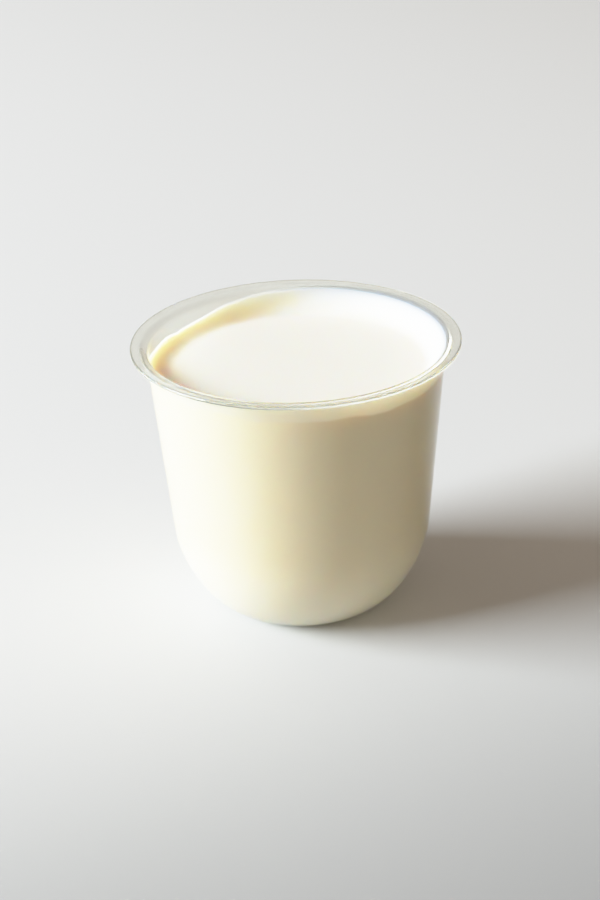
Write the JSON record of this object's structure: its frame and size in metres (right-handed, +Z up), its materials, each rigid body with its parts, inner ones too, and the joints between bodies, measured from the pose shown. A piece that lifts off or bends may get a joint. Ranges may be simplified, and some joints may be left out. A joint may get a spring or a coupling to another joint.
{
  "type": "yogurt pot",
  "caption": "Clear round thin-walled plastic pot with a rounded foot and a flat sealing rim, open and filled with plain set yogurt.",
  "frame": {"origin": "centre of the flat base that the pot stands on", "axes": "+Z up along the pot's axis; the yogurt's surface leans down towards -X and a little towards +Y"},
  "size_m": [0.076, 0.076, 0.0654],
  "materials": {
    "clear_plastic": "clear and glossy",
    "yogurt": "smooth and moist"
  },
  "bodies": {
    "root": {"cup": "clear_plastic", "yogurt": "yogurt"}
  },
  "joints": []
}
